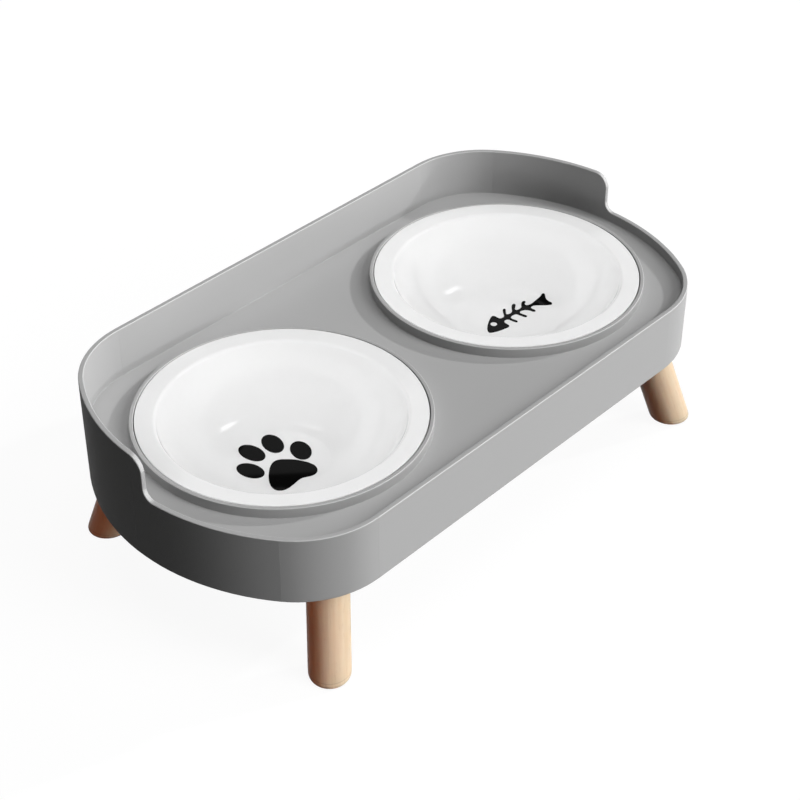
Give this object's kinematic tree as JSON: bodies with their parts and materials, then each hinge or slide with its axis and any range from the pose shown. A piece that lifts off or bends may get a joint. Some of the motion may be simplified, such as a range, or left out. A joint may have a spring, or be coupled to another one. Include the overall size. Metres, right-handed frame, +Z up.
{
  "type": "raised double pet bowl",
  "caption": "Raised pet feeding tray with a tall back wall and leaning wooden legs, holding lift-out ceramic bowls in collared wells.",
  "frame": {"origin": "on the floor, under the middle of the tray", "axes": "+X along the tray, +Y to its high back wall, +Z up"},
  "size_m": [0.3672, 0.1884, 0.114],
  "materials": {
    "tray": "moulded, matt",
    "bowls": "clear glaze over white",
    "legs": "turned beech, clear matt varnish",
    "bolts": "zinc plated",
    "inserts": "turned",
    "foot_pads": "matt"
  },
  "bodies": {
    "stand": {"tray": "tray", "leg_front_left": "legs", "leg_front_right": "legs", "leg_back_left": "legs", "leg_back_right": "legs", "hanger_bolt_front_left": "bolts", "hanger_bolt_front_right": "bolts", "hanger_bolt_back_left": "bolts", "hanger_bolt_back_right": "bolts", "insert_front_left": "inserts", "insert_front_right": "inserts", "insert_back_left": "inserts", "insert_back_right": "inserts", "foot_pad_front_left": "foot_pads", "foot_pad_front_right": "foot_pads", "foot_pad_back_left": "foot_pads", "foot_pad_back_right": "foot_pads"},
    "bowl_left": {"bowl_left": "bowls"},
    "bowl_right": {"bowl_right": "bowls"}
  },
  "joints": [
    {"name": "bowl_left_lift", "type": "slide", "parent": "stand", "child": "bowl_left", "axis": [0, 0, 1], "range_m": [0, 0.07]},
    {"name": "bowl_right_lift", "type": "slide", "parent": "stand", "child": "bowl_right", "axis": [0, 0, 1], "range_m": [0, 0.07]}
  ]
}
